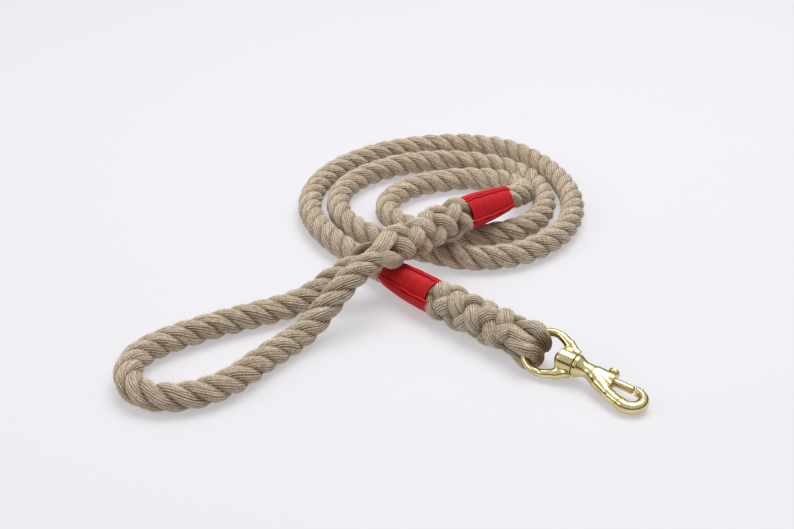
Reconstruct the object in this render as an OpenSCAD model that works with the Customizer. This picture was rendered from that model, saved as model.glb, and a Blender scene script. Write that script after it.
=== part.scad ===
// Rope training leash: one laid rope with an eye splice at each end, two twine
// whippings and a brass swivel bolt snap. It lies on the plane z = 0.
// X runs to the right, Y runs away from the viewer, Z is up. Millimetres.

/* [Rope] */
// Diameter of the laid rope
rope_d = 16; // [14:0.5:16]
// Sides of the swept rope tube
rope_sides = 10; // [10:2:12]
// Thickness of an eye splice, where six strands lie together
splice_d = 23; // [22:0.5:24]

/* [Whippings] */
// Thickness of the wound twine
twine_t = 1; // [0.8:0.1:1.2]
// Thickness of one riding cord
rider_d = 1.6; // [1.2:0.1:1.8]
// Pairs of riding cords round a whipping
rider_pairs = 4; // [2:1:4]

/* [Swivel eye] */
// Clear width of the round eye
eye_inner_d = 19.5; // [18:0.5:21]
// Thickness of the eye's ring
eye_wire_d = 4.3; // [4:0.1:4.6]
// Diameter of the hub that turns on the post
hub_d = 12.6; // [12:0.2:14]
// Length of the hub along its bore
hub_length = 9; // [8:0.5:10]
// Width of the shoulders where the ring runs into the hub
shoulder_w = 16; // [14:0.5:18]
// Diameter of the hook body's post
post_d = 6; // [5:0.25:7]
// Diameter of the peened head on the post
head_d = 10; // [9:0.5:11]

/* [Hook body] */
// Diameter of the collar next to the hub
collar_d = 12.4; // [12:0.2:13]
// Diameter of the neck behind the barrel
neck_d = 8; // [8:0.2:9]
// Diameter of the barrel round the bolt
barrel_d = 8.6; // [8.4:0.2:9.4]
// Distance from the hub's middle to the barrel's mouth
barrel_end = 27.6; // [26:0.2:28]
// Thickness of the hook at its bend
hook_wire_d = 6.8; // [6.4:0.2:7.2]
// Radius of the hook's bend, to the middle of the wire
bend_r = 6.6; // [6:0.1:7]
// Distance from the hub's middle to the middle of the bend
bend_x = 39.8; // [39:0.2:41]
// Thickness of the web between barrel and hook
web_t = 5.4; // [4.6:0.2:6]

/* [Bolt] */
// Diameter of the sliding bolt
bolt_d = 4.4; // [4:0.1:4.6]
// Travel of the bolt from shut to open
bolt_travel = 8; // [6:0.5:8]
// Distance from the hub's middle to the shut bolt's tip
bolt_tip = 38.4; // [38:0.1:38.6]
// Length of the bolt
bolt_length = 20.4; // [19:0.2:20.4]
// Width of the thumb knob
knob_d = 6.4; // [5.6:0.2:7]
// Height of the thumb knob's cap
knob_t = 3; // [2.4:0.2:3.4]
// Diameter of the knob's stem
stem_d = 2.6; // [2.2:0.1:3]
// Width of the slot that the stem runs in
slot_w = 3; // [2.8:0.1:3.4]

/* [Hidden] */
$fn = 64;
gap = 0.3;
run_gap = 0.06;

// Where the rope's stretches start and end.
loop_start = [-1, 7, 33.5];
loop_end = [-11, 17, 25.5];
handle_throat = [-6, 12, 29.5];
handle_neck = [48, 67, 29];
lead_end = [76, 97, 24.5];
lead_start = [6, 31, 9.2];
snap_neck = [33, -2, 11.6];
snap_nose = [87, -55, 11.8];

// The snap lies on its side, a little nose down.
hub_at = [98.8, -63.2, 9.6];
snap_yaw = -34;
snap_pitch = 5.5;
hook_roll = 8;
eye_roll = 36;
eye_swing = 15;

// Route of the lead, from the snap's splice to the handle's splice.
lead_route = [
    lead_start, [-8, 48, 8], [-20, 63, 8], [-31, 79, 8], [-40, 98, 8],
    [-45, 119, 8], [-44, 141, 8], [-37, 163, 8], [-24, 183, 8], [-6, 199, 8],
    [15, 210, 8], [38, 216, 8], [62, 216, 8], [84, 209, 8], [101, 193, 8],
    [113, 171, 8], [120, 148, 8], [122, 125, 8], [118, 102, 8], [108, 81, 8],
    [92, 64, 8], [72, 54, 8], [50, 53, 8], [30, 61, 8], [10, 71, 8],
    [-8, 83, 8], [-21, 99, 8], [-27, 119, 8], [-26, 140, 8], [-17, 159, 8],
    [-2, 174, 8], [17, 185, 8], [38, 189, 8], [60, 187, 8], [80, 179, 8],
    [95, 164, 8], [103, 144, 8], [104, 123, 8], [98, 104, 8], [85, 90, 8],
    [67, 82, 8], [47, 82, 8], [28, 87, 8], [12, 97, 8], [4, 113, 8],
    [6, 131, 8], [17, 146, 8], [33, 156, 8], [51, 161, 8], [67, 161, 8],
    [80, 155, 9], [89, 143, 11], [91, 128, 15], [86, 111, 21], lead_end
];

// Route of the handle's loop, out along its near leg and back along its far leg.
loop_route = [
    loop_start, [-10, -2, 31], [-19, -11, 26], [-27, -19, 19], [-35, -27, 12],
    [-44, -37, 8], [-53, -49, 8], [-62, -61, 8], [-71, -74, 8], [-82, -85, 8],
    [-96, -92, 8], [-111, -93, 8], [-123, -86, 8], [-129, -72, 8], [-127, -56, 8],
    [-117, -43, 8], [-104, -33, 8], [-90, -24, 8], [-75, -16, 8], [-61, -9, 8],
    [-49, -2, 8], [-39, 6, 9], [-30, 11, 14], [-20, 14, 20], loop_end
];

eye_r = (eye_inner_d + eye_wire_d) / 2;
eye_x = -eye_r - 0.3;
bar_x = eye_x - eye_r;
post_end = -hub_length / 2 - gap;
head_t = 2.4;
bolt_bore = bolt_d + 2 * run_gap;
bolt_back = bolt_tip - bolt_length;
spring_back = bolt_back - bolt_travel - 3.8;
spring_d = 2.6;
spring_wire = 0.5;
pocket_d = spring_d + 0.4;
pocket_depth = bolt_travel + 1.6;
knob_x = 24.2;
knob_y = barrel_d / 2 + gap;
hook_tip_d = 5;
hook_y = bend_r - 0.2;
shank_angle = 17;
shank_length = 18;
lap = 0.5;
tip_x = bolt_tip + gap;

function unit(v) = v / norm(v);
function ends(p, i, a, b) =
    i == 0 ? a : i == len(p) - 1 ? b : unit(p[i + 1] - p[i - 1]);
function side_of(t) = unit(cross(t, [0, 0, 1]));
function ring(c, t, r) =
    let (u = side_of(t), v = cross(u, t))
    [for (k = [0 : rope_sides - 1])
        let (a = 360 * k / rope_sides - 90)
        c + r * (cos(a) * u + sin(a) * v)];

// Tube along a route, with the directions of its two end faces given.
module tube(route, d, a, b) {
    n = rope_sides;
    last = len(route) - 1;
    points = [for (i = [0 : last]) each ring(route[i], ends(route, i, a, b), d / 2)];
    walls = [for (i = [0 : last - 1], k = [0 : n - 1])
        let (m = (k + 1) % n)
        [i * n + k, i * n + m, (i + 1) * n + m, (i + 1) * n + k]];
    first_cap = [[for (k = [n - 1 : -1 : 0]) k]];
    last_cap = [[for (k = [0 : n - 1]) last * n + k]];
    polyhedron(points = points, faces = concat(walls, first_cap, last_cap));
}

// Puts a child's X axis on the line from p to q, with its origin at p.
module along(p, q) {
    v = q - p;
    translate(p)
        rotate([0, -atan2(v.z, norm([v.x, v.y])), atan2(v.y, v.x)])
            children();
}

// Straight round bar along X, from radius r1 to radius r2.
module bar(l, r1, r2) {
    rotate([0, 90, 0])
        cylinder(h = l, r1 = r1, r2 = r2);
}

module snap_frame(roll) {
    translate(hub_at)
        rotate([roll, snap_pitch, snap_yaw])
            children();
}

// Sleeve of wound twine from p to q, with riding cords laid along it in pairs.
module whipping(p, q, r1, r2, turn) {
    l = norm(q - p);
    slope = atan2(r2 - r1, l);
    along(p, q) {
        difference() {
            bar(l, r1, r2);
            translate([-1, 0, 0])
                bar(l + 2, r1 - twine_t - (r2 - r1) / l, r2 - twine_t + (r2 - r1) / l);
        }
        for (k = [0 : rider_pairs - 1], s = [-1, 1])
            rotate([turn + 360 * k / rider_pairs + s * 5.2, 0, 0])
                translate([0.6, 0, r1])
                    rotate([0, 90 - slope, 0])
                        cylinder(h = l - 1.2, d = rider_d, $fn = 24);
    }
}

module splice_core(p, q, r1, r2) {
    along(p, q)
        bar(norm(q - p), r1 - twine_t - run_gap, r2 - twine_t - run_gap);
}

handle_whip_r = [10.4, 8.3];
snap_whip_r = [8.3, 10.4];

module lead_rope() {
    color([0.72, 0.65, 0.53])
        tube(lead_route, rope_d, unit(lead_start - snap_neck), unit(handle_neck - lead_end));
}

module handle_loop() {
    color([0.76, 0.69, 0.56])
        tube(loop_route, rope_d, unit(handle_throat - handle_neck), unit(handle_neck - handle_throat));
}

module handle_splice() {
    color([0.69, 0.62, 0.5]) {
        difference() {
            along(handle_throat, handle_neck)
                bar(norm(handle_neck - handle_throat) + 4, splice_d / 2, splice_d / 2);
            along(handle_neck, lead_end)
                translate([0, -splice_d, -splice_d])
                    cube(2 * splice_d);
        }
        splice_core(handle_neck, lead_end, handle_whip_r[0], handle_whip_r[1]);
    }
}

module handle_whipping() {
    color([0.8, 0.1, 0.12])
        whipping(handle_neck, lead_end, handle_whip_r[0], handle_whip_r[1], 100);
}

// Space that the ring needs in the rope's eye as it swings about its far side.
module ring_slot() {
    half = eye_wire_d / 2 + 0.45;
    reach = eye_r * 1.3;
    rise = half + reach * tan(eye_swing);
    intersection() {
        translate([eye_x, 0, -reach])
            difference() {
                cylinder(h = 2 * reach, r = eye_r + half);
                translate([0, 0, -1])
                    cylinder(h = 2 * reach + 2, r = eye_r - half);
            }
        translate([bar_x, eye_r * 1.5, 0])
            rotate([90, 0, 0])
                linear_extrude(3 * eye_r)
                    polygon([
                        [-half - 1, -half], [0, -half], [reach, -rise],
                        [reach, rise], [0, half], [-half - 1, half]
                    ]);
    }
}

// The rope's eye closes round the ring's bar, and the ring swings in it.
module snap_splice() {
    nose = norm(snap_nose - snap_neck);
    color([0.66, 0.59, 0.48]) {
        difference() {
            along(snap_neck, snap_nose) {
                translate([-4, 0, 0])
                    bar(nose - 6, splice_d / 2, splice_d / 2);
                translate([nose - 10, 0, 0])
                    bar(4, splice_d / 2, splice_d / 2 - 1);
                translate([nose - 6, 0, 0])
                    bar(5, splice_d / 2 - 1, splice_d / 2 - 3.6);
                translate([nose - 1, 0, 0])
                    bar(3, splice_d / 2 - 3.6, splice_d / 2 - 7);
            }
            along(lead_start, snap_neck)
                translate([-3 * splice_d + norm(snap_neck - lead_start), -1.5 * splice_d, -1.5 * splice_d])
                    cube(3 * splice_d);
            snap_frame(eye_roll)
                ring_slot();
        }
        splice_core(lead_start, snap_neck, snap_whip_r[0], snap_whip_r[1]);
    }
}

module snap_whipping() {
    color([0.75, 0.08, 0.1])
        whipping(lead_start, snap_neck, snap_whip_r[0], snap_whip_r[1], 82);
}

// Ring and hub in one casting, with a plain bore for the post.
module swivel_eye() {
    front = hub_length / 2;
    wide = eye_r + eye_wire_d / 2;
    color([0.85, 0.7, 0.3])
        snap_frame(eye_roll)
            difference() {
                union() {
                    translate([eye_x, 0, 0])
                        rotate_extrude()
                            translate([eye_r, 0])
                                circle(d = eye_wire_d);
                    translate([-front, 0, 0])
                        bar(hub_length, hub_d / 2, hub_d / 2);
                    translate([0, 0, -eye_wire_d / 2])
                        linear_extrude(eye_wire_d)
                            difference() {
                                polygon([
                                    [-front - 1.5, -wide + 1.2], [0, -shoulder_w / 2 - 2.6],
                                    [front, -shoulder_w / 2], [front, shoulder_w / 2],
                                    [0, shoulder_w / 2 + 2.6], [-front - 1.5, wide - 1.2]
                                ]);
                                translate([eye_x, 0])
                                    circle(d = eye_inner_d);
                            }
                }
                translate([-front - 1, 0, 0])
                    bar(hub_length + 2, post_d / 2 + run_gap, post_d / 2 + run_gap);
                translate([-hub_length - head_t, 0, 0])
                    bar(hub_length / 2 + head_t, head_d / 2 + gap, head_d / 2 + gap);
            }
}

// Post, peened head, collar and neck, turned about the swivel's axis.
module stem() {
    face = hub_length / 2 + gap;
    rotate([0, 90, 0])
        rotate_extrude()
            polygon([
                [0, post_end - head_t], [head_d / 4, post_end - head_t],
                [head_d / 2 - 0.8, post_end - head_t + 0.9], [head_d / 2, post_end - 0.8],
                [head_d / 2, post_end], [post_d / 2, post_end],
                [post_d / 2, face], [collar_d / 2 - 0.4, face],
                [collar_d / 2, face + 0.4], [collar_d / 2, face + 2.4],
                [collar_d / 2 - 0.8, face + 3.4], [neck_d / 2 + 0.4, face + 5.4],
                [neck_d / 2, face + 7.6], [neck_d / 2, face + 10.4],
                [barrel_d / 2, face + 13], [barrel_d / 2, barrel_end], [0, barrel_end]
            ]);
}

// Hook wire: a shank off the barrel, a bend and a tip that meets the bolt.
module hook_wire() {
    d = hook_wire_d;
    translate([bend_x, -hook_y, 0])
        rotate([0, 0, -90 - shank_angle])
            rotate_extrude(angle = 180 + shank_angle)
                translate([bend_r, 0])
                    circle(d = d);
    translate([bend_x - bend_r * sin(shank_angle), -hook_y - bend_r * cos(shank_angle), 0])
        rotate([0, 0, 180 - shank_angle])
            translate([-lap, 0, 0])
                bar(shank_length + lap, d / 2 - 0.1, d / 2 - 0.6);
    translate([bend_x, bend_r - hook_y, 0])
        rotate([0, 0, 180])
            translate([-lap, 0, 0])
                bar(bend_x - tip_x + lap, d / 2 - 0.1, hook_tip_d / 2);
}

// Flat web that fills the corner between the barrel and the shank.
module web() {
    translate([0, 0, -web_t / 2])
        linear_extrude(web_t)
            difference() {
                polygon([
                    [14, 2], [14, -3.6], [18, -6.8], [22, -8],
                    [31, -11], [33, -9], [barrel_end, 2]
                ]);
                translate([32.6, -5])
                    circle(d = 9);
            }
}

module hook_body() {
    color([0.9, 0.76, 0.38])
        snap_frame(hook_roll)
            difference() {
                union() {
                    stem();
                    hook_wire();
                    web();
                }
                translate([spring_back, 0, 0])
                    bar(barrel_end + 4 - spring_back, bolt_bore / 2, bolt_bore / 2);
                translate([knob_x - bolt_travel - slot_w / 2 - 0.2, 0, -slot_w / 2])
                    cube([bolt_travel + slot_w + 0.4, barrel_d, slot_w]);
            }
}

module bolt() {
    color([0.95, 0.85, 0.5])
        snap_frame(hook_roll)
            difference() {
                rotate([0, 90, 0])
                    rotate_extrude()
                        polygon([
                            [0, bolt_back], [bolt_d / 2, bolt_back],
                            [bolt_d / 2, bolt_tip - 0.7], [bolt_d / 2 - 0.7, bolt_tip],
                            [0, bolt_tip]
                        ]);
                translate([bolt_back - 1, 0, 0])
                    bar(pocket_depth + 1, pocket_d / 2, pocket_d / 2);
            }
}

module thumb_knob() {
    color([0.8, 0.62, 0.25])
        snap_frame(hook_roll)
            translate([knob_x, 0, 0])
                rotate([-90, 0, 0])
                    rotate_extrude()
                        polygon([
                            [0, bolt_d / 2 - 0.4], [stem_d / 2, bolt_d / 2 - 0.4],
                            [stem_d / 2, knob_y], [knob_d / 2 - 0.5, knob_y],
                            [knob_d / 2, knob_y + 0.5], [knob_d / 2, knob_y + knob_t - 1],
                            [knob_d / 2 - 1, knob_y + knob_t], [0, knob_y + knob_t]
                        ]);
}

// Return spring, a plain sleeve of the coil's size at the shut bolt's length.
module bolt_spring() {
    color([0.7, 0.7, 0.72])
        snap_frame(hook_roll)
            translate([spring_back + 0.1, 0, 0])
                difference() {
                    bar(bolt_back + 1.4 - spring_back, spring_d / 2, spring_d / 2);
                    translate([-1, 0, 0])
                        bar(bolt_back + 4 - spring_back, spring_d / 2 - spring_wire, spring_d / 2 - spring_wire);
                }
}

lead_rope();
handle_loop();
handle_splice();
handle_whipping();
snap_splice();
snap_whipping();
swivel_eye();
hook_body();
bolt();
thumb_knob();
bolt_spring();
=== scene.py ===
import itertools
import math
import bpy
import numpy as np
from mathutils import Matrix


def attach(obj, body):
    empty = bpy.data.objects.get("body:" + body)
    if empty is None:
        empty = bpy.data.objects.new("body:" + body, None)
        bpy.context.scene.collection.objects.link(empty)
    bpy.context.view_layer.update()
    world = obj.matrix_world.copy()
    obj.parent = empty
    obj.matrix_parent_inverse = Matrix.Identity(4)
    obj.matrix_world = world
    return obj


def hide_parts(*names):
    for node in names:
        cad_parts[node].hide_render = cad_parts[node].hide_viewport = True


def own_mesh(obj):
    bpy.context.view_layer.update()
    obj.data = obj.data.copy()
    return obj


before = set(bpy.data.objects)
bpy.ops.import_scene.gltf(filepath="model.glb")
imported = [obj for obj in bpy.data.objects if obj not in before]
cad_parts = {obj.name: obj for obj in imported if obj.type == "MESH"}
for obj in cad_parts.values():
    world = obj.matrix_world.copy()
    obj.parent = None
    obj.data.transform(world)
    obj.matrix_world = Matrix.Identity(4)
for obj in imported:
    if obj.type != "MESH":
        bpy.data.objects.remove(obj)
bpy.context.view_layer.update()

# A rope leash on a pale floor: laid rope, two eye splices, two twine whippings and a brass
# swivel bolt snap. Lengths are in millimetres until build() turns them into metres.
MM = 0.001
CAD_ROPE_R = 8
ROPE_R = 7.75
SINK = (0, 0, CAD_ROPE_R - ROPE_R)
PITCH = 33.5
STRAND_R = 0.57 * ROPE_R
YARNS = 18
PER = 3
CAMERA_DOWN = 29


# ---------------------------------------------------------------- camera
cam_data = bpy.data.cameras.new("camera")
cam = bpy.data.objects.new("camera", cam_data)
bpy.context.scene.collection.objects.link(cam)
cam.location = (0.010, -0.680, 0.40934)
cam.rotation_euler = (math.radians(90 - CAMERA_DOWN), 0, 0)
cam_data.lens = 63.8
cam_data.sensor_width = 36
cam_data.clip_start = 0.01
bpy.context.scene.camera = cam

# ---------------------------------------------------------------- routes, in millimetres
LOOP_START = (-1, 7, 33.5)
LOOP_END = (-11, 17, 25.5)
HANDLE_THROAT = (-6, 12, 29.5)
HANDLE_NECK = (48, 67, 29)
LEAD_END = (76, 97, 24.5)
LEAD_START = (6, 31, 9.2)
SNAP_NECK = (33, -2, 11.6)
SNAP_NOSE = (87, -55, 11.8)
LEAD_ROUTE = [
    LEAD_START, (-8, 48, 8), (-20, 63, 8), (-31, 79, 8), (-40, 98, 8),
    (-45, 119, 8), (-44, 141, 8), (-37, 163, 8), (-24, 183, 8), (-6, 199, 8),
    (15, 210, 8), (38, 216, 8), (62, 216, 8), (84, 209, 8), (101, 193, 8),
    (113, 171, 8), (120, 148, 8), (122, 125, 8), (118, 102, 8), (108, 81, 8),
    (92, 64, 8), (72, 54, 8), (50, 53, 8), (30, 61, 8), (10, 71, 8),
    (-8, 83, 8), (-21, 99, 8), (-27, 119, 8), (-26, 140, 8), (-17, 159, 8),
    (-2, 174, 8), (17, 185, 8), (38, 189, 8), (60, 187, 8), (80, 179, 8),
    (95, 164, 8), (103, 144, 8), (104, 123, 8), (98, 104, 8), (85, 90, 8),
    (67, 82, 8), (47, 82, 8), (28, 87, 8), (12, 97, 8), (4, 113, 8),
    (6, 131, 8), (17, 146, 8), (33, 156, 8), (51, 161, 8), (67, 161, 8),
    (80, 155, 9), (89, 143, 11), (91, 128, 15), (86, 111, 21), LEAD_END,
]
LOOP_ROUTE = [
    LOOP_START, (-10, -2, 31), (-19, -11, 26), (-27, -19, 19), (-35, -27, 12),
    (-44, -37, 8), (-53, -49, 8), (-62, -61, 8), (-71, -74, 8), (-82, -85, 8),
    (-96, -92, 8), (-111, -93, 8), (-123, -86, 8), (-129, -72, 8), (-127, -56, 8),
    (-117, -43, 8), (-104, -33, 8), (-90, -24, 8), (-75, -16, 8), (-61, -9, 8),
    (-49, -2, 8), (-39, 6, 9), (-30, 11, 14), (-20, 14, 20), LOOP_END,
]


# ---------------------------------------------------------------- curves and frames
def unit(v):
    v = np.asarray(v, float)
    return v / np.linalg.norm(v, axis=-1, keepdims=True)


def arc(q):
    return np.concatenate([[0], np.cumsum(np.linalg.norm(np.diff(q, axis=0), axis=1))])


def resample(q, step):
    s = arc(q)
    t = np.linspace(0, s[-1], max(3, int(round(s[-1] / step)) + 1))
    return np.stack([np.interp(t, s, q[:, i]) for i in range(3)], 1)


def smooth(points, step):
    """Even steps along a smooth curve through the points."""
    p = np.array(points, float)
    p = np.vstack([2 * p[0] - p[1], p, 2 * p[-1] - p[-2]])
    out = []
    for i in range(1, len(p) - 2):
        a, b, c, d = p[i - 1:i + 3]
        n = max(3, int(np.linalg.norm(c - b) / 0.4))
        t = np.linspace(0, 1, n, endpoint=False)[:, None]
        out.append(0.5 * (2 * b + (c - a) * t + (2 * a - 5 * b + 4 * c - d) * t ** 2
                          + (3 * b - a - 3 * c + d) * t ** 3))
    return resample(np.vstack(out + [p[-2][None]]), step)


def tangents(q):
    return unit(np.gradient(q, axis=0))


def upright(q):
    """Tangent, sideways and third axis, right-handed, at each point of a route."""
    t = tangents(q)
    u = unit(np.cross(t, [0, 0, 1.0]))
    return t, u, np.cross(t, u)


def steady(q, start=None):
    """Frames that don't turn about the curve."""
    t = tangents(q)
    n = np.zeros_like(q)
    first = np.array([0, 0, 1.0]) if start is None else np.asarray(start, float)
    n[0] = unit(first - first.dot(t[0]) * t[0])
    for i in range(len(q) - 1):
        a = q[i + 1] - q[i]
        c = a.dot(a)
        r = n[i] - 2 / c * a.dot(n[i]) * a
        w = t[i] - 2 / c * a.dot(t[i]) * a
        b = t[i + 1] - w
        d = b.dot(b)
        n[i + 1] = r if d < 1e-12 else r - 2 / d * b.dot(r) * b
    return t, n, np.cross(t, n)


def ease(x):
    x = np.clip(x, 0, 1)
    return x * x * (3 - 2 * x)


# ---------------------------------------------------------------- meshes
class Tubes:
    """Closed tubes gathered into one mesh, with lengths in millimetres as UVs and, at each vertex, a
    painted-shade value (0 darkest, 1 unshaded).
    """

    def __init__(self):
        self.v, self.f, self.uv, self.crevice_shade, self.n = [], [], [], [], 0

    def add(self, rings, s, girth, crevice_shade):
        m, n = rings.shape[:2]
        base = self.n
        i, j = np.meshgrid(np.arange(m - 1), np.arange(n), indexing="ij")
        k = (j + 1) % n
        quads = np.stack([i * n + j, i * n + k, (i + 1) * n + k, (i + 1) * n + j], -1)
        u0, u1 = j / n * girth, (j + 1) / n * girth
        a, b = s[i], s[i + 1]
        uv = np.stack([np.stack([u0, a], -1), np.stack([u1, a], -1),
                       np.stack([u1, b], -1), np.stack([u0, b], -1)], 2)
        self.v += [rings.reshape(-1, 3), rings[[0, -1]].mean(1)]
        self.crevice_shade += [crevice_shade.reshape(-1), crevice_shade[[0, -1]].mean(1)]
        self.f.append((quads.reshape(-1, 4) + base, uv.reshape(-1, 4, 2)))
        e = np.arange(n)
        g = (e + 1) % n
        first = np.stack([e * 0 + m * n, g, e], -1) + base
        last = np.stack([e * 0 + m * n + 1, (m - 1) * n + e, (m - 1) * n + g], -1) + base
        caps = np.vstack([first, last])
        self.f.append((caps, np.zeros((len(caps), 3, 2))))
        self.n += m * n + 2

    def object(self, name):
        return build(name, np.vstack(self.v), [x[0] for x in self.f],
                     [x[1] for x in self.f], np.concatenate(self.crevice_shade))


def build(name, verts, faces, uvs=None, crevice_shade=None):
    me = bpy.data.meshes.new(name)
    verts = np.asarray(verts, float) * MM
    me.vertices.add(len(verts))
    me.vertices.foreach_set("co", verts.ravel())
    counts = np.concatenate([np.full(len(f), f.shape[1]) for f in faces])
    loops = np.concatenate([f.ravel() for f in faces])
    me.loops.add(len(loops))
    me.loops.foreach_set("vertex_index", loops.astype(np.int32))
    me.polygons.add(len(counts))
    me.polygons.foreach_set("loop_start", np.concatenate([[0], np.cumsum(counts)[:-1]]).astype(np.int32))
    me.update(calc_edges=True)
    if uvs is not None:
        layer = me.uv_layers.new(name="strand")
        layer.data.foreach_set("uv", np.concatenate([u.reshape(-1) for u in uvs]) * 0.1)
    if crevice_shade is not None:
        me.attributes.new("crevice_shade", "FLOAT", "POINT").data.foreach_set("value", crevice_shade.astype(np.float32))
    me.validate()
    me.polygons.foreach_set("use_smooth", np.ones(len(me.polygons), bool))
    o = bpy.data.objects.new(name, me)
    bpy.context.scene.collection.objects.link(o)
    return o


def strand(tubes, c, r, seed, crevice_shade_of, rate=-0.02, valley=0.17, start=None, uv0=0.0, flatten=None):
    """Sweeps one strand of separate yarns along c, with local radius r."""
    rng = np.random.default_rng(seed)
    t, n, b = steady(c, start)
    s = arc(c)
    r = np.broadcast_to(np.asarray(r, float), s.shape)
    valley = np.broadcast_to(np.asarray(valley, float), s.shape)
    count = YARNS * PER
    j = np.arange(count)
    groove = np.array([1.0, 0.12, 0.12])[j % PER][None]
    bulge = np.zeros((len(s), count))
    shift = np.zeros((len(s), count))
    for wave in (6.0, 11.0, 23.0):
        phase, bend = rng.uniform(0, 2 * np.pi, (2, YARNS))
        amp = rng.uniform(0.3, 1.0, YARNS)
        k = 2 * np.pi * s[:, None] / (wave * rng.uniform(0.9, 1.1))
        bulge += (0.014 * amp * np.sin(k + phase))[:, j // PER]
        shift += (0.12 * amp * np.sin(0.6 * k + bend))[:, j // PER]
    deep = rng.uniform(0.4, 1.9, YARNS)[j // PER][None]
    psi = 2 * np.pi * (j[None] + shift) / count + rate * s[:, None]
    rad = r[:, None] * (1 - valley[:, None] * groove * deep + bulge * (1 - groove) - 0.012)
    ring = (c[:, None] + rad[..., None] * (np.cos(psi)[..., None] * n[:, None]
                                           + np.sin(psi)[..., None] * b[:, None]))
    if flatten is not None:
        ring = flatten(c, ring)
    # Painted shade: darker in the grooves between yarns, multiplied onto the painted shade of the crevices.
    shade = crevice_shade_of(ring) * (1 - 0.78 * groove * np.minimum(deep, 1))
    tubes.add(ring, s + uv0, 2 * np.pi * float(r.mean()), shade)
    return ring


def laid(q, scale, phase, seed):
    """Centre lines of the three strands of a right-hand laid rope along q."""
    t, u, v = upright(q)
    s = arc(q)
    rng = np.random.default_rng(seed)
    lines = []
    wander = 0.16 * np.sin(2 * np.pi * s / 173 + rng.uniform(0, 6)) + 0.1 * np.sin(2 * np.pi * s / 71)
    for k in range(3):
        a = phase + 2 * np.pi * (k / 3 + s / PITCH) + wander
        r = (ROPE_R - STRAND_R) * scale * (1 + 0.02 * np.sin(2 * np.pi * s / 37 + k * 2.1))
        lines.append(q + r[:, None] * (np.cos(a)[:, None] * u + np.sin(a)[:, None] * v))
    return lines


def rope(name, q, scale, phase, seed):
    t = tangents(q)

    # Painted shade: strand surface gets darker the nearer it lies to the rope's axis, in the crevices between
    # strands.
    def crevice_shade(ring):
        d = ring - q[:, None]
        d = d - (d * t[:, None]).sum(-1, keepdims=True) * t[:, None]
        rho = np.linalg.norm(d, axis=-1) / (ROPE_R * scale[:, None])
        return np.clip((rho - 0.65) / 0.25, 0, 1)

    tubes, lines, rings = Tubes(), laid(q, scale, phase, seed), []
    for k, c in enumerate(lines):
        rings.append(strand(tubes, c, STRAND_R * scale, seed + k, crevice_shade, uv0=37.0 * k))
    return tubes.object(name), lines, rings


# ---------------------------------------------------------------- cords: the lead and the hand loop
def into(a, b, depth):
    """A point that lies depth beyond a, towards b."""
    return tuple(np.array(a, float) + unit(np.subtract(b, a)) * depth)


lead_q = smooth([into(LEAD_START, SNAP_NECK, 5)] + LEAD_ROUTE + [into(LEAD_END, HANDLE_NECK, 5)], 2.0) - SINK
s = arc(lead_q)
squeeze = 1 - 0.16 * (1 - ease((s - 3) / 9)) - 0.16 * (1 - ease((s[-1] - s - 3) / 9))
lead, _, lead_rings = rope("lead", lead_q, squeeze, 0.4, 11)
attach(lead, "rope")
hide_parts("lead_rope")

loop_q = smooth(LOOP_ROUTE, 1.5) - SINK
s = arc(loop_q)
squeeze = 1 - 0.1 * (1 - ease(s / 30)) - 0.1 * (1 - ease((s[-1] - s) / 30))
loop, loop_lines, loop_rings = rope("hand_loop", loop_q, squeeze, 1.3, 23)
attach(loop, "rope")
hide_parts("handle_loop")


# ---------------------------------------------------------------- loose fibres standing off the strands
fibres = Tubes()


def fuzz(rings, per_ring, seed):
    rng = np.random.default_rng(seed)
    for ring in rings:
        n = int(len(ring) * per_ring)
        i = rng.integers(2, len(ring) - 3, n)
        j = rng.integers(0, ring.shape[1], n)
        root = ring[i, j]
        away = unit(root - ring[i].mean(1))
        along = unit(ring[i + 1, j] - root) * rng.choice([-1, 1], n)[:, None]
        across = np.cross(away, along)
        reach = rng.uniform(1.5, 4.8, n)[:, None]
        lift = rng.uniform(0.1, 0.55, n)[:, None]
        curl = rng.uniform(-0.7, 0.7, n)[:, None]
        wide = rng.uniform(0.05, 0.085, n)
        for k in range(n):
            u = np.array([-0.08, 0.25, 0.6, 1.0])[:, None]
            line = (root[k] + reach[k] * (along[k] * u + across[k] * curl[k] * u * abs(u))
                    + away[k] * (reach[k] * lift[k] * u * (1.25 - 0.6 * u) - 0.1))
            if line[:, 2].min() < 0.15:
                continue
            w = wide[k] * np.array([1, 1, 0.8, 0.4])
            tri = np.stack([np.cos(q_) * away[k] + np.sin(q_) * across[k] for q_ in (0, 2.1, 4.2)])
            fibres.add(line[:, None] + w[:, None, None] * tri[None], u[:, 0] * 4, 0.5, np.ones((4, 3)))


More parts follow.
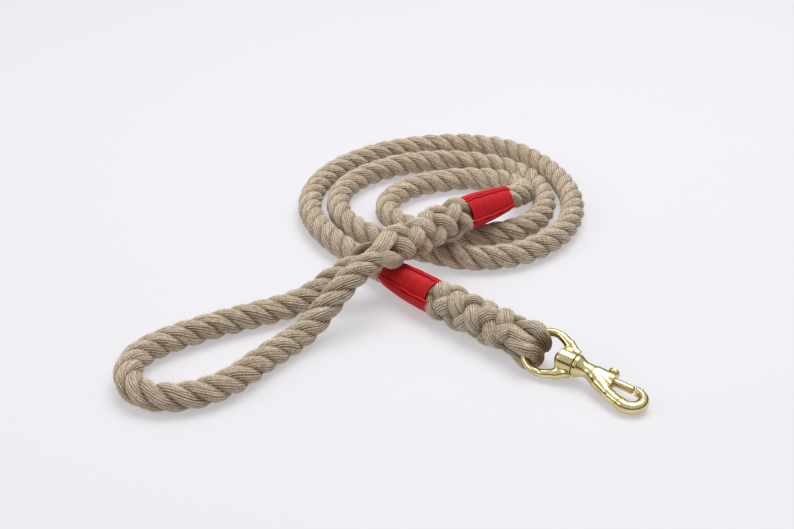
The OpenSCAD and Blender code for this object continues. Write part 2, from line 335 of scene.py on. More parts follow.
# ---------------------------------------------------------------- eye splices
class Axis:
    """A straight splice axis from p to q, and the six interlaced strands round it."""

    def __init__(self, p, q, lay, tuck, s0=0.0, turn=0.0):
        self.p, self.q = np.array(p, float), np.array(q, float)
        self.length = np.linalg.norm(self.q - self.p)
        self.t = unit(self.q - self.p)
        self.u = unit(np.cross(self.t, [0, 0, 1.0]))
        self.v = np.cross(self.t, self.u)
        self.rate = {1: 2 * np.pi / lay, -1: -2 * np.pi / tuck}
        self.s0, self.turn = s0, turn

    def point(self, s, r, a):
        s, r, a = (np.asarray(x, float)[..., None] for x in (s, r, a))
        return self.p + self.t * s + r * (np.cos(a) * self.u + np.sin(a) * self.v)

    def line(self, s, k, hand, r0, amp):
        """Standing strands (hand 1) keep the lay; tucked ones (hand -1) pass over one and under the next."""
        x = s - self.s0
        a = self.turn + 2 * np.pi * k / 3 + self.rate[hand] * x
        return self.point(s, r0 + hand * amp * np.cos(1.5 * (self.rate[1] - self.rate[-1]) * x), a)

    def flatten(self, c, ring):
        """Presses a strand towards the axis and lets it spread sideways."""
        along = unit(c[2:] - c[:-2])
        along = np.vstack([along[:1], along, along[-1:]])
        d = c - self.p
        s = d @ self.t
        e = d - s[:, None] * self.t
        e = unit(e - (e * along).sum(-1, keepdims=True) * along)
        w = (ease((s + 4) / 8) * ease((self.length - 18 - s) / 8))[:, None]
        f = np.cross(e, along)
        off = ring - c[:, None]
        out = (off * e[:, None]).sum(-1)[..., None] * e[:, None]
        wide = (off * f[:, None]).sum(-1)[..., None] * f[:, None]
        ring = ring - 0.14 * w[:, None] * out + 0.20 * w[:, None] * wide
        ring[..., 2] = 0.5 * (ring[..., 2] + np.sqrt(ring[..., 2] ** 2 + 0.36))
        return ring

    # Painted shade: strand surface gets darker the nearer it lies to the splice axis, darkest at low,
    # unshaded from high outwards.
    def crevice_shade(self, low, high):
        def f(ring):
            d = ring - self.p
            along = d @ self.t
            rho = np.linalg.norm(d - along[..., None] * self.t, axis=-1)
            return np.clip((rho - low) / (high - low), 0, 1)
        return f


# The snap's own axes: X along it from the hub to the hook, turned and tipped as it lies.
HUB = np.array([98.8, -63.2, 9.6])
SNAP_YAW, SNAP_PITCH = math.radians(-34), math.radians(5.5)
EYE_ROLL, HOOK_ROLL = math.radians(36), math.radians(8)
SNAP_N = np.array([math.cos(SNAP_YAW) * math.cos(SNAP_PITCH),
                   math.sin(SNAP_YAW) * math.cos(SNAP_PITCH), -math.sin(SNAP_PITCH)])
SNAP_SIDE = np.array([-math.sin(SNAP_YAW), math.cos(SNAP_YAW), 0])
SNAP_UP = np.cross(SNAP_N, SNAP_SIDE)
EYE_R, EYE_X, EYE_WIRE_R = 11.9, -12.2, 2.15


def rolled(roll):
    """The snap's sideways and upward axes, rolled about its length."""
    c, s_ = math.cos(roll), math.sin(roll)
    return SNAP_SIDE * c + SNAP_UP * s_, SNAP_UP * c - SNAP_SIDE * s_


BAR_DIR, RING_UP = rolled(EYE_ROLL)

snap_axis = Axis(SNAP_NECK, SNAP_NOSE, 34.0, 62.0, s0=3.0, turn=math.radians(24))
stop = 58.5
sb = np.arange(-4.0, stop, 1.8)
r0 = 3.5 + 2.8 * ease((sb + 4) / 9) - 0.6 * ease((sb - 50) / 8)
amp = 1.1 + 1.1 * ease((sb + 4) / 9) - 0.2 * ease((sb - 50) / 8)
tubes, snap_rings = Tubes(), []
crevice_shade = snap_axis.crevice_shade(6.2, 11.2)
up = [snap_axis.line(sb, k, 1, r0, amp) for k in range(3)]
back = [snap_axis.line(sb, k, -1, r0, amp) for k in range(3)]
side = lambda p: float((p[-1] - snap_axis.point(stop, 0, 0)) @ BAR_DIR)
up.sort(key=side)
back.sort(key=side)
for seat, y in enumerate([-6.4, 0.5, 6.6]):
    over, under = up[seat], back[seat]
    wire = HUB + SNAP_N * (EYE_X - math.sqrt(EYE_R ** 2 - y ** 2)) + BAR_DIR * y
    g = math.radians(-20) * y / 6.4
    fwd = SNAP_N * math.cos(g) + BAR_DIR * math.sin(g)
    flip = 1 if (over[-1] - under[-1]) @ RING_UP > 0 else -1
    bight = []
    for a in np.radians([85, 55, 25, 0, -25, -55, -85]):
        around = fwd * math.cos(a) + flip * RING_UP * math.sin(a)
        bight.append(wire + 6.4 * around + 1.5 * BAR_DIR * math.sin(a))
    c = smooth(np.vstack([over, bight, under[::-1]]), 1.3)
    snap_rings.append(strand(tubes, c, 4.35, 40 + seat, crevice_shade, rate=-0.05, valley=0.22,
                             uv0=50.0 * seat, flatten=snap_axis.flatten))
snap_splice = tubes.object("snap_splice_strands")
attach(snap_splice, "rope")
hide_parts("snap_splice")

# The hand loop's two legs run into this splice: one keeps its lay, the other is tucked against it.
hand_axis = Axis(HANDLE_THROAT, HANDLE_NECK, 37.0, 85.0, s0=6.0, turn=math.radians(75))
far = hand_axis.length
sb = np.arange(15.0, far + 4.0, 1.8)
r0 = 3.5 + 2.8 * ease((far + 4 - sb) / 9)
amp = 1.1 + 1.0 * ease((far + 4 - sb) / 9)
tubes, hand_rings = Tubes(), []
crevice_shade = hand_axis.crevice_shade(6.4, 11.6)


def leg_ends(first):
    """End point, tangent out of the loop, and ring start of each strand at one end of the loop."""
    out = []
    for c, ring in zip(loop_lines, loop_rings):
        i, d = (0, -1) if first else (-1, 1)
        t = unit(c[0] - c[2]) if first else unit(c[-1] - c[-3])
        out.append((c[i], t, ring[i][0] - c[i]))
    return out


def match(ends, hand):
    """Pairs each leg strand with the braid strand nearest to it in angle."""
    best = None
    heads = [hand_axis.line(np.array([8.0]), k, hand, 5.0, 0.0)[0] for k in range(3)]
    for order in itertools.permutations(range(3)):
        cost = sum(np.linalg.norm(ends[i][0] + ends[i][1] * 8 - heads[k]) ** 2 for i, k in enumerate(order))
        if best is None or cost < best[0]:
            best = (cost, order)
    return best[1]


for first, hand in ((True, -1), (False, 1)):
    legs = leg_ends(first)
    order = match(legs, hand)
    for i, (p, t, e) in enumerate(legs):
        body = hand_axis.line(sb, order[i], hand, r0, amp)
        pts = np.vstack([p - t * 0.8, p, p + t * 4, body])
        c = smooth(pts, 1.3)
        grow = STRAND_R * 0.9 + (4.45 - STRAND_R * 0.9) * ease(arc(c) / 15)
        open_yarns = 0.21 + (0.16 if (first and i == 0) else 0.0) * np.exp(-((arc(c) - 16) / 10) ** 2)
        hand_rings.append(strand(tubes, c, grow - 0.03, 60 + 3 * first + i, crevice_shade, rate=-0.05,
                                 valley=open_yarns, start=e, uv0=41.0 * i, flatten=hand_axis.flatten))
hand_splice = tubes.object("hand_splice_strands")
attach(hand_splice, "rope")
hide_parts("handle_splice")

fuzz(lead_rings, 2.4, 5)
fuzz(loop_rings, 3.2, 6)
fuzz(snap_rings + hand_rings, 1.6, 7)
loose = fibres.object("loose_fibres")
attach(loose, "rope")


# ---------------------------------------------------------------- twine whippings
def twine(tubes, c, r, rate, sides=8, plies=2, cut=0.1, inward=None):
    """A thin cord along c; inward gives, for each point, the way to the middle of what it is wound on."""
    t, n, b = steady(c)
    s = arc(c)
    j = np.arange(sides)
    dip = 0.5 - 0.5 * np.cos(plies * 2 * np.pi * j / sides)
    psi = 2 * np.pi * j / sides + rate * s[:, None]
    d = np.cos(psi)[..., None] * n[:, None] + np.sin(psi)[..., None] * b[:, None]
    ring = c[:, None] + (r * (1 - cut * dip))[None, :, None] * d
    # Painted shade: darker in the grooves between plies, or, where inward is given, on the sides of the turns
    # that face what they are wound on.
    shade = np.broadcast_to(1 - 0.35 * dip, psi.shape)
    if inward is not None:
        shade = np.clip(-0.5 - 1.5 * (d * inward[:, None]).sum(-1), 0, 1)
    tubes.add(ring, s, 2 * np.pi * r, shade)


def whipping(name, node, p, q, r1, r2, turn):
    p, q = np.array(p, float), np.array(q, float)
    length = np.linalg.norm(q - p)
    t = unit(q - p)
    y = unit(np.cross([0, 0, 1.0], t))
    z = np.cross(t, y)
    pairs, pitch, rw = 4, 1.3, 0.64
    spread = math.radians(5.0)

    def at(x, a, r):
        x, a, r = (np.asarray(k, float)[..., None] for k in (x, a, r))
        return p + t * x + r * (np.cos(a) * z - np.sin(a) * y)

    def outer(x, a):
        """Surface of the turns: they dip beside each pair of riding cords and belly between them."""
        x, a = np.asarray(x, float), np.asarray(a, float)
        near = np.mod(a - math.radians(turn) + np.pi / pairs, 2 * np.pi / pairs) - np.pi / pairs
        base = r1 + (r2 - r1) * x / length
        belly = 0.9 * np.sin(np.pi * np.clip(x / length, 0, 1)) - 0.4
        return base + belly - 0.12 * np.exp(-(near / 0.2) ** 2) + 0.05 * np.sin(x / 5.3 + 2 * a)

    tubes = Tubes()
    turns = length / pitch
    a = np.arange(0, turns * 2 * np.pi, 2 * np.pi / 72)
    x = rw + a / (2 * np.pi) * (length - 2 * rw) / turns
    wound = at(x, a, outer(x, a) - rw)
    twine(tubes, wound, rw, 0.0, plies=1, cut=0.0, inward=unit(p + t * x[:, None] - wound))
    n = 72
    xs = 1.0 + (length - 2) * ease(np.linspace(0, 1, 36))
    ang = np.arange(n) * 2 * np.pi / n
    gx, ga = np.meshgrid(xs, ang, indexing="ij")
    inset = 0.95 + 4.0 * np.exp((1 - np.minimum(gx, length - gx)) / 0.5)
    core = at(gx, -ga, outer(gx, -ga) - inset)
    # Painted shade: the sleeve seen between the turns is given a constant deep shade.
    tubes.add(core, xs, 60.0, np.full(gx.shape, 0.25))
    for k in range(pairs):
        for side_of in (-1, 1):
            b = math.radians(turn) + 2 * np.pi * k / pairs + side_of * spread
            tail = np.array([-1.6, -0.9, 0.1, 1.6, 4])
            xs = np.concatenate([tail, np.arange(8, 33, 4), length - tail[::-1]])
            lift = np.full(xs.shape, 0.42)
            lift[[0, -1]] = -2.6
            lift[[1, -2]] = -0.7
            lift[[2, -3]] = 0.3
            wob = 0.02 * np.sin(xs * 0.5 + k * 2 + side_of)
            r = outer(xs, b) + lift
            twine(tubes, smooth(at(xs, b + wob, r), 0.5), 0.74, 1.1, sides=10, cut=0.16)
    o = tubes.object(name)
    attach(o, "rope")
    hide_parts(node)
    return o


hand_whip = whipping("hand_whipping_twine", "handle_whipping", HANDLE_NECK, LEAD_END, 10.4, 8.3, 100)
snap_whip = whipping("snap_whipping_twine", "snap_whipping", LEAD_START, SNAP_NECK, 8.3, 10.4, 82)


# ---------------------------------------------------------------- brass castings, from distance fields
HUB_R, HUB_HALF = 6.3, 4.5
POST_R, HEAD_R, HEAD_END, HEAD_SEAT = 3.0, 5.0, -7.2, -4.8
BARREL_R, BARREL_END = 4.3, 27.6
BEND_X, BEND_Y, BEND_R, HOOK_R = 39.8, -6.4, 6.6, 3.4
BOLT_R, BOLT_BACK, BOLT_TIP = 2.2, 18.0, 38.4
KNOB_R, KNOB_X = 3.2, 24.2
SPRING_BACK, SPRING_LENGTH = 6.35, 12.4


def blend(a, b, k):
    """Smooth union of two distance fields."""
    h = np.clip(0.5 + 0.5 * (b - a) / k, 0, 1)
    return b * (1 - h) + a * h - k * h * (1 - h)


def cone(x, y, z, a, b, ra, rb):
    """Round-ended bar from a to b, of radius ra to rb."""
    a, b = np.array(a, float), np.array(b, float)
    d = b - a
    h = np.clip(((x - a[0]) * d[0] + (y - a[1]) * d[1] + (z - a[2]) * d[2]) / d.dot(d), 0, 1)
    return np.sqrt((x - a[0] - h * d[0]) ** 2 + (y - a[1] - h * d[1]) ** 2
                   + (z - a[2] - h * d[2]) ** 2) - (ra + (rb - ra) * h)


def disc(x, y, z, x0, x1, r, soft):
    """Round bar along X from x0 to x1, with softened edges."""
    dx = np.abs(x - (x0 + x1) / 2) - (x1 - x0) / 2 + soft
    dr = np.sqrt(y * y + z * z) - r + soft
    return np.minimum(np.maximum(dx, dr), 0) + np.sqrt(np.maximum(dx, 0) ** 2 + np.maximum(dr, 0) ** 2) - soft


def slab(x, y, z, c, half, soft):
    d = [np.abs(w - m) - h + soft for w, m, h in zip((x, y, z), c, half)]
    outside = np.sqrt(sum(np.maximum(w, 0) ** 2 for w in d))
    return outside + np.minimum(np.maximum(np.maximum(d[0], d[1]), d[2]), 0) - soft


def turned(x, y, z, profile):
    """Round body about X whose radius follows (x, r) pairs."""
    px, pr = zip(*profile)
    rho = np.sqrt(y * y + z * z)
    radius = np.interp(x, px, pr)
    slope = np.abs(np.gradient(np.array(pr), np.array(px))).clip(0, 2)
    lean = np.sqrt(1 + np.interp(x, px, slope) ** 2)
    return np.maximum((rho - radius) / lean, np.maximum(px[0] - x, x - px[-1]))


def surface(f, lo, hi, h):
    """Surface net of f = 0 as vertices and quads."""
    axes = [np.arange(a, b + h, h) for a, b in zip(lo, hi)]
    grid = np.meshgrid(*axes, indexing="ij")
    val = f(*grid)
    inside = val < 0
    n = np.array(val.shape) - 1
    total = np.zeros(n, int)
    for i in (0, 1):
        for j in (0, 1):
            for k in (0, 1):
                total += inside[i:n[0] + i, j:n[1] + j, k:n[2] + k]
    active = (total > 0) & (total < 8)
    index = np.full(n, -1)
    index[active] = np.arange(active.sum())
    acc = np.zeros(tuple(n) + (3,))
    cnt = np.zeros(n)
    quads = []
    for ax in range(3):
        others = [i for i in range(3) if i != ax]
        lo_s = [slice(None)] * 3
        hi_s = [slice(None)] * 3
        lo_s[ax], hi_s[ax] = slice(0, -1), slice(1, None)
        a, b = val[tuple(lo_s)], val[tuple(hi_s)]
        cross = (a < 0) != (b < 0)
        frac = np.where(cross, a / np.where(a == b, 1, a - b), 0)
        pos = np.stack([g[tuple(lo_s)] for g in grid], -1)
        pos[..., ax] += frac * h
        for oj in (0, 1):
            for ok in (0, 1):
                cut = [slice(None)] * 3
                cut[others[0]] = slice(oj, n[others[0]] + oj)
                cut[others[1]] = slice(ok, n[others[1]] + ok)
                hit = cross[tuple(cut)]
                acc += pos[tuple(cut)] * hit[..., None]
                cnt += hit
        core = [slice(None)] * 3
        core[others[0]] = slice(1, n[others[0]])
        core[others[1]] = slice(1, n[others[1]])
        where = np.argwhere(cross[tuple(core)])
        where[:, others[0]] += 1
        where[:, others[1]] += 1
        ids = []
        for oj, ok in ((1, 1), (0, 1), (0, 0), (1, 0)):
            w = where.copy()
            w[:, others[0]] -= oj
            w[:, others[1]] -= ok
            ids.append(index[w[:, 0], w[:, 1], w[:, 2]])
        q = np.stack(ids, 1)
        sign = a[where[:, 0], where[:, 1], where[:, 2]] < 0
        if ax == 1:
            sign = ~sign
        q[~sign] = q[~sign][:, ::-1]
        quads.append(q)
    verts = acc[active] / cnt[active][:, None]
    e = 0.02
    for _ in range(4):
        x, y, z = verts.T
        d = f(x, y, z)
        g = np.stack([f(x + e, y, z) - f(x - e, y, z), f(x, y + e, z) - f(x, y - e, z),
                      f(x, y, z + e) - f(x, y, z - e)], 1) / (2 * e)
        size = np.maximum((g * g).sum(1), 0.05)
        verts = verts - np.clip(d / size, -h, h)[:, None] * g * 0.9
    return verts, np.vstack(quads)


def placed(v, roll):
    """From the snap's own axes to the leash's."""
    side, up = rolled(roll)
    return HUB + v[:, :1] * SNAP_N + v[:, 1:2] * side + v[:, 2:] * up


def eye_shape(x, y, z):
    """Ring, shoulders and hub, with a bore for the post and room for its head."""
    rho = np.sqrt(y * y + z * z)
    f = np.sqrt((np.sqrt((x - EYE_X) ** 2 + y * y) - EYE_R) ** 2 + z * z) - EYE_WIRE_R
    for sgn in (-1, 1):
        a = (EYE_X + EYE_R * math.cos(1.28), sgn * EYE_R * math.sin(1.28), 0)
        elbow, foot = (-3.0, sgn * 9.3, 0), (2.4, sgn * 5.9, 0)
        arm = blend(cone(x, y, z, a, elbow, EYE_WIRE_R, 2.4), cone(x, y, z, elbow, foot, 2.4, 2.6), 1.2)
        f = blend(f, arm, 1.2)
    f = blend(f, slab(x, y, z, (3.0, 0, 0), (1.45, 7.6, 2.5), 1.1), 1.8)
    f = blend(f, disc(x, y, z, -HUB_HALF, HUB_HALF, HUB_R, 0.7), 1.5)
    f = np.maximum(f, x - HUB_HALF)
    bore = np.maximum(rho - POST_R - 0.06, np.abs(x) - 5.6)
    head_room = np.maximum(rho - HEAD_R - 0.3, np.maximum(x + HUB_HALF, -11.4 - x))
    return np.maximum(f, -np.minimum(bore, head_room))


def hook_shape(x, y, z):
    """Post and peened head, collar, neck, barrel, web, shank and hook."""
    rho = np.sqrt(y * y + z * z)
    post = disc(x, y, z, -5.6, 6.0, POST_R, 0.1)
    dome = np.sqrt((x + 0.9) ** 2 + rho ** 2) - 6.3
    head = np.maximum(dome, disc(x, y, z, HEAD_END, HEAD_SEAT, HEAD_R, 0.5))
    f = turned(x, y, z, [(4.8, 5.9), (5.1, 6.2), (6.9, 6.2), (7.3, 5.8), (7.9, 5.5), (9.2, 4.75),
                         (10.8, 4.15), (12.6, 4.0), (15.2, 4.0), (18.0, BARREL_R), (20.0, BARREL_R)])
    f = blend(f, disc(x, y, z, 16.0, BARREL_END, BARREL_R, 0.6), 0.6)
    f = blend(f, cone(x, y, z, (13.5, -0.6, 0), (21.0, -5.4, 0), 3.1, 3.4), 2.2)
    f = blend(f, cone(x, y, z, (17.0, -2.6, 0), (26.0, -5.6, 0), 3.2, 2.9), 2.4)
    waist = (30.5, -10.3, 0)
    shank = blend(cone(x, y, z, (21.0, -5.4, 0), waist, HOOK_R, 3.1),
                  cone(x, y, z, waist, (38.2, -12.8, 0), 3.1, HOOK_R - 0.05), 1.0)
    f = blend(f, shank, 1.6)
    dx, dy = x - BEND_X, y - BEND_Y
    phi = np.arctan2(dy, dx)
    phi = np.where(phi < -2.4, phi + 2 * np.pi, phi)
    first, last = math.radians(-107), math.radians(92)
    clip = np.clip(phi, first, last)
    rad = HOOK_R - 0.9 * ((clip - first) / (last - first)) ** 2.2
    bend = np.sqrt((dx - BEND_R * np.cos(clip)) ** 2 + (dy - BEND_R * np.sin(clip)) ** 2 + z * z) - rad
    bend = np.maximum(bend, np.where((phi > 1.2) | (phi < -2.3), 38.72 - x, -9))
    f = blend(f, bend, 0.7)
    f = np.maximum(f, -np.maximum(rho - BOLT_R - 0.07, 6.2 - x))
    f = np.maximum(f, -slab(x, y, z, (20.15, 4.5, 0), (5.9, 4.5, 1.5), 0.5))
    return np.minimum(f, np.minimum(post, head))


def bolt_shape(x, y, z):
    return disc(x, y, z, BOLT_BACK, BOLT_TIP, BOLT_R, 0.45)


def knob_shape(x, y, z):
    rho = np.sqrt((x - KNOB_X) ** 2 + z * z)
    stem = np.maximum(rho - 1.3, np.maximum(1.0 - y, y - 6.0))
    cap = np.maximum(np.sqrt(rho ** 2 + (y - 3.3) ** 2) - 4.35, disc(y, x - KNOB_X, z, 4.6, 9.0, KNOB_R, 0.7))
    return blend(stem, cap, 0.5)


brass = {}
for name, shape, lo, hi, roll, node, body, cell in (
        ("swivel_eye_casting", eye_shape, (-27.5, -15.2, -7.4), (6.2, 15.2, 7.4),
         EYE_ROLL, "swivel_eye", "eye", 0.32),
        ("hook_casting", hook_shape, (-9, -18.4, -7.4), (51.7, 7.4, 7.4),
         HOOK_ROLL, "hook_body", "hook", 0.32),
        ("spring_bolt", bolt_shape, (17, -3.2, -3.2), (39.6, 3.2, 3.2),
         HOOK_ROLL, "bolt", "bolt", 0.26),
        ("bolt_thumb_knob", knob_shape, (20, 0.2, -4.2), (28.4, 8.8, 4.2),
         HOOK_ROLL, "thumb_knob", "bolt", 0.2)):
    v, q = surface(shape, lo, hi, cell)
    o = build(name, placed(v, roll), [q])
    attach(o, body)
    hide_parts(node)
    brass[name] = o

# Return spring: a real coil inside the barrel.
a = np.linspace(0, 2 * np.pi * 9, 9 * 20)
x = SPRING_BACK + a / a[-1] * SPRING_LENGTH
coil = np.stack([x, 1.05 * np.cos(a), 1.05 * np.sin(a)], 1)
tubes = Tubes()
twine(tubes, placed(coil, HOOK_ROLL), 0.24, 0.0, plies=1, cut=0.0)
spring = tubes.object("return_spring")
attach(spring, "hook")
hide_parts("bolt_spring")
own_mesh(spring)


# ---------------------------------------------------------------- materials
class Nodes:
    def __init__(self, name):
        self.mat = bpy.data.materials.new(name)
        self.mat.use_nodes = True
        self.tree = self.mat.node_tree
        self.tree.nodes.clear()
        self.out = self.new("ShaderNodeOutputMaterial")
        self.bsdf = self.new("ShaderNodeBsdfPrincipled")
        self.join(self.bsdf, "BSDF", self.out, "Surface")

    def new(self, kind, **values):
        n = self.tree.nodes.new(kind)
        for k, val in values.items():
            setattr(n, k, val)
        return n

    def join(self, a, out, b, into_):
        self.tree.links.new(a.outputs[out], b.inputs[into_])

    def set(self, **values):
        for k, val in values.items():
            self.bsdf.inputs[k.replace("_", " ")].default_value = val

    def scaled(self, source, out, scale, turn=0.0):
        m = self.new("ShaderNodeMapping")
        m.inputs["Scale"].default_value = scale
        m.inputs["Rotation"].default_value = (0, 0, turn)
        self.join(source, out, m, "Vector")
        return m

    def noise(self, vec, scale, detail=3.0, rough=0.5, out="Vector"):
        n = self.new("ShaderNodeTexNoise")
        n.inputs["Scale"].default_value = scale
        n.inputs["Detail"].default_value = detail
        n.inputs["Roughness"].default_value = rough
        self.join(vec, out, n, "Vector")
        return n

    def ramp(self, source, out, stops):
        r = self.new("ShaderNodeValToRGB")
        e = r.color_ramp.elements
        while len(e) < len(stops):
            e.new(0.5)
        for i, (pos, col) in enumerate(stops):
            e[i].position = pos
            e[i].color = tuple(col) + (1,) if len(col) == 3 else col
        self.join(source, out, r, "Fac")
        return r

    def mix(self, a, b, fac, kind="MIX"):
        m = self.new("ShaderNodeMix", data_type="RGBA", blend_type=kind)
        for sock, val in ((6, a), (7, b), (0, fac)):
            if isinstance(val, tuple) and hasattr(val[0], "outputs"):
                self.tree.links.new(val[0].outputs[val[1]], m.inputs[sock])
            elif sock == 0:
                m.inputs[0].default_value = val
            else:
                m.inputs[sock].default_value = tuple(val) + (1,)
        return m

    def math(self, op, a, b):
        m = self.new("ShaderNodeMath", operation=op)
        for i, val in enumerate((a, b)):
            if isinstance(val, tuple):
                self.tree.links.new(val[0].outputs[val[1]], m.inputs[i])
            else:
                m.inputs[i].default_value = val
        return m

    def bump(self, height, out, strength, distance):
        b = self.new("ShaderNodeBump")
        b.inputs["Strength"].default_value = strength
        b.inputs["Distance"].default_value = distance
        self.join(height, out, b, "Height")
        self.join(b, "Normal", self.bsdf, "Normal")


def rope_material(name, light, mid, dark):
    n = Nodes(name)
    uv = n.new("ShaderNodeUVMap", uv_map="strand")
    crevice_shade = n.new("ShaderNodeAttribute", attribute_name="crevice_shade", attribute_type="GEOMETRY")
    obj = n.new("ShaderNodeTexCoord")
    fibre = n.noise(n.scaled(uv, "UV", (11, 1.6, 1), 0.12), 1.0, 5, 0.66)
    fine = n.noise(n.scaled(uv, "UV", (34, 5, 1), -0.25), 1.0, 4, 0.7)
    patch = n.noise(obj, 34.0, 2, 0.5, out="Object")
    streak = n.noise(n.scaled(uv, "UV", (5.2, 0.7, 1)), 1.0, 2, 0.5)
    mixed = n.math("ADD", (n.math("MULTIPLY", (fibre, 0), 0.5), 0), (n.math("MULTIPLY", (fine, 0), 0.5), 0))
    tone = n.ramp(mixed, 0, [(0.37, dark), (0.46, mid), (0.58, light)])
    warm_in = n.ramp(streak, "Fac", [(0.45, (0, 0, 0)), (0.8, (0.55, 0.55, 0.55))])
    warm = n.mix((tone, 0), (0.60, 0.49, 0.32), (warm_in, 0))
    pale_in = n.ramp(patch, "Fac", [(0.52, (0, 0, 0)), (0.8, (0.28, 0.28, 0.28))])
    pale = n.mix((warm, 2), (0.80, 0.76, 0.68), (pale_in, 0))
    # Painted shade: the colour is multiplied darker in the crevices between strands and in the yarn grooves.
    depth = n.ramp(crevice_shade, "Fac", [(0.0, (0.33, 0.24, 0.155)), (0.45, (0.74, 0.68, 0.6)), (0.85, (1, 1, 1))])
    fleck = n.noise(obj, 1300.0, 2, 0.6, out="Object")
    speck = n.ramp(fleck, "Fac", [(0.36, (0.6, 0.56, 0.5)), (0.5, (0.96, 0.95, 0.94)),
                                  (0.64, (1.12, 1.12, 1.12))])
    aged = n.mix((pale, 2), (speck, 0), 1.0, "MULTIPLY")
    colour = n.mix((aged, 2), (depth, 0), 1.0, "MULTIPLY")
    n.join(colour, 2, n.bsdf, "Base Color")
    n.bump(mixed, 0, 0.9, 0.0012)
    n.set(Roughness=0.85, Sheen_Weight=0.25, Sheen_Roughness=0.5, Specular_IOR_Level=0.25)
    n.bsdf.inputs["Sheen Tint"].default_value = (1, 0.93, 0.8, 1)
    return n.mat


def twine_material():
    n = Nodes("red_waxed_twine")
    uv = n.new("ShaderNodeUVMap", uv_map="strand")
    obj = n.new("ShaderNodeTexCoord")
    crevice_shade = n.new("ShaderNodeAttribute", attribute_name="crevice_shade", attribute_type="GEOMETRY")
    ply = n.noise(n.scaled(uv, "UV", (30, 9, 1), 0.7), 1.0, 3, 0.55)
    patch = n.noise(obj, 60.0, 2, 0.5, out="Object")
    tone = n.ramp(ply, "Fac", [(0.28, (0.62, 0.008, 0.013)), (0.5, (0.78, 0.013, 0.019)),
                               (0.72, (0.88, 0.024, 0.030))])
    wax_in = n.ramp(patch, "Fac", [(0.5, (0, 0, 0)), (0.75, (0.3, 0.3, 0.3))])
    wax = n.mix((tone, 0), (0.80, 0.035, 0.035), (wax_in, 0))
    # Painted shade: the colour is multiplied darker between the turns, in the ply grooves and on the sleeve
    # between turns.
    depth = n.ramp(crevice_shade, "Fac", [(0.0, (0.10, 0.08, 0.08)), (0.55, (0.6, 0.58, 0.58)), (0.95, (1, 1, 1))])
    colour = n.mix((wax, 2), (depth, 0), 1.0, "MULTIPLY")
    n.join(colour, 2, n.bsdf, "Base Color")
    n.bump(ply, 0, 0.35, 0.0002)
    rough = n.ramp(patch, "Fac", [(0.3, (0.42, 0.42, 0.42)), (0.7, (0.6, 0.6, 0.6))])
    n.join(rough, 0, n.bsdf, "Roughness")
    n.set(Specular_IOR_Level=0.25)
    return n.mat


def brass_material(name, colour, deep, rough, bump):
    n = Nodes(name)
    obj = n.new("ShaderNodeTexCoord")
    cloud = n.noise(obj, 120.0, 3, 0.5, out="Object")
    pits = n.noise(obj, 900.0, 3, 0.6, out="Object")
    tone = n.ramp(cloud, "Fac", [(0.3, deep), (0.62, colour)])
    n.join(tone, 0, n.bsdf, "Base Color")
    r = n.ramp(pits, "Fac", [(0.35, (rough, rough, rough)), (0.75, (rough + 0.12,) * 3)])
    n.join(r, 0, n.bsdf, "Roughness")
    ripple = n.noise(obj, 260.0, 2, 0.5, out="Object")
    wave = n.math("ADD", (ripple, 0), (n.math("MULTIPLY", (pits, 0), 0.25), 0))
    n.bump(wave, 0, bump, 0.0002)
    n.set(Metallic=1.0)
    return n.mat


def steel_material():
    n = Nodes("spring_wire")
    obj = n.new("ShaderNodeTexCoord")
    drawn = n.noise(n.scaled(obj, "Object", (900, 900, 900)), 1.0, 2, 0.5)
    tone = n.ramp(drawn, "Fac", [(0.3, (0.45, 0.45, 0.47)), (0.7, (0.66, 0.66, 0.68))])
    n.join(tone, 0, n.bsdf, "Base Color")
    n.bump(drawn, 0, 0.2, 0.00005)
    n.set(Metallic=1.0, Roughness=0.3)
    return n.mat


def fibre_material():
    n = Nodes("loose_fibre")
    obj = n.new("ShaderNodeTexCoord")
    patch = n.noise(obj, 400.0, 2, 0.5, out="Object")
    tone = n.ramp(patch, "Fac", [(0.3, (0.46, 0.36, 0.22)), (0.7, (0.74, 0.66, 0.52))])
    n.join(tone, 0, n.bsdf, "Base Color")
    n.bump(patch, 0, 0.3, 0.0001)
    n.set(Roughness=0.7, Sheen_Weight=0.3, Alpha=0.75)
    return n.mat


def give(o, mat):
    o.data.materials.clear()
    o.data.materials.append(mat)


LIGHT, MID, DARK = (0.87, 0.755, 0.595), (0.645, 0.54, 0.40), (0.24, 0.185, 0.12)
hemp = rope_material("laid_rope", LIGHT, MID, DARK)
for o in (lead, loop, hand_splice, snap_splice):
    give(o, hemp)
red = twine_material()
give(hand_whip, red)
give(snap_whip, red)
cast = brass_material("cast_brass", (0.78, 0.665, 0.35), (0.60, 0.495, 0.225), 0.17, 0.12)
turned_brass = brass_material("turned_brass", (0.78, 0.63, 0.34), (0.62, 0.48, 0.23), 0.18, 0.10)
for name, o in brass.items():
    give(o, turned_brass if name in ("spring_bolt", "bolt_thumb_knob") else cast)
give(spring, steel_material())
give(loose, fibre_material())

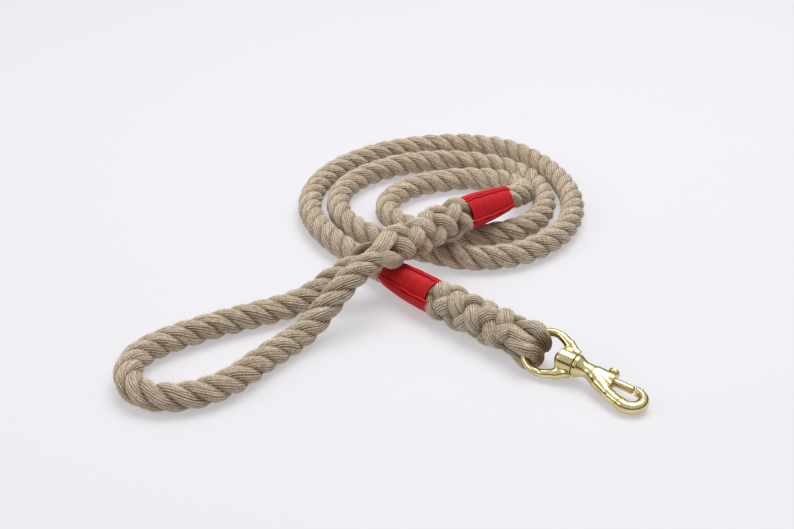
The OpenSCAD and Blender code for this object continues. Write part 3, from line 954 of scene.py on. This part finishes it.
# ---------------------------------------------------------------- floor, light
floor_mesh = bpy.data.meshes.new("floor")
FLOOR_Z = -0.0003
floor_mesh.from_pydata([(x, y, FLOOR_Z) for x, y in ((-6, -4), (6, -4), (6, 9), (-6, 9))], [], [(0, 1, 2, 3)])
floor = bpy.data.objects.new("floor", floor_mesh)
bpy.context.scene.collection.objects.link(floor)
fm = Nodes("pale_glowing_floor")
# The floor glows with its own light, which lightens the shadows cast on it and lights the leash from below.
fm.set(Base_Color=(0.40, 0.394, 0.403, 1), Roughness=0.7, Specular_IOR_Level=0.2,
       Emission_Color=(0.93, 0.915, 0.94, 1), Emission_Strength=0.42)
floor_mesh.materials.append(fm.mat)


def panel(name, at, look, size, power, colour=(1, 1, 1)):
    d = bpy.data.lights.new(name, "AREA")
    d.shape, d.size, d.size_y, d.energy, d.color = "RECTANGLE", size[0], size[1], power, colour
    o = bpy.data.objects.new(name, d)
    bpy.context.scene.collection.objects.link(o)
    o.location = at
    z = -unit(np.subtract(look, at))
    x = unit(np.cross([0, 1, 0], z)) if abs(z[2]) > 0.99 else unit(np.cross([0, 0, 1], z))
    y = np.cross(z, x)
    o.rotation_euler = Matrix(np.stack([x, y, z], 1).tolist()).to_euler()


panel("top_light", (0.25, 0.35, 1.3), (0, 0.05, 0), (1.1, 0.9), 14)
panel("left_light", (-1.3, -0.3, 0.9), (0, 0, 0), (0.9, 0.7), 4)
world = bpy.data.worlds.new("studio")
bpy.context.scene.world = world
world.use_nodes = True
w = world.node_tree
sky = w.nodes["Background"]
where = w.nodes.new("ShaderNodeTexCoord")
split = w.nodes.new("ShaderNodeSeparateXYZ")
band = w.nodes.new("ShaderNodeValToRGB")
w.links.new(where.outputs["Generated"], split.inputs[0])
w.links.new(split.outputs["Z"], band.inputs["Fac"])
w.links.new(band.outputs[0], sky.inputs["Color"])
stops = [(0.0, 0.30), (0.12, 0.10), (0.34, 0.06), (0.42, 0.95), (1.0, 1.0)]
while len(band.color_ramp.elements) < len(stops):
    band.color_ramp.elements.new(0.5)
for e, (pos, val) in zip(band.color_ramp.elements, stops):
    e.position, e.color = pos, (0.93 * val, 0.94 * val, val, 1)
sky.inputs["Strength"].default_value = 0.68
bpy.context.scene.view_settings.view_transform = "Standard"
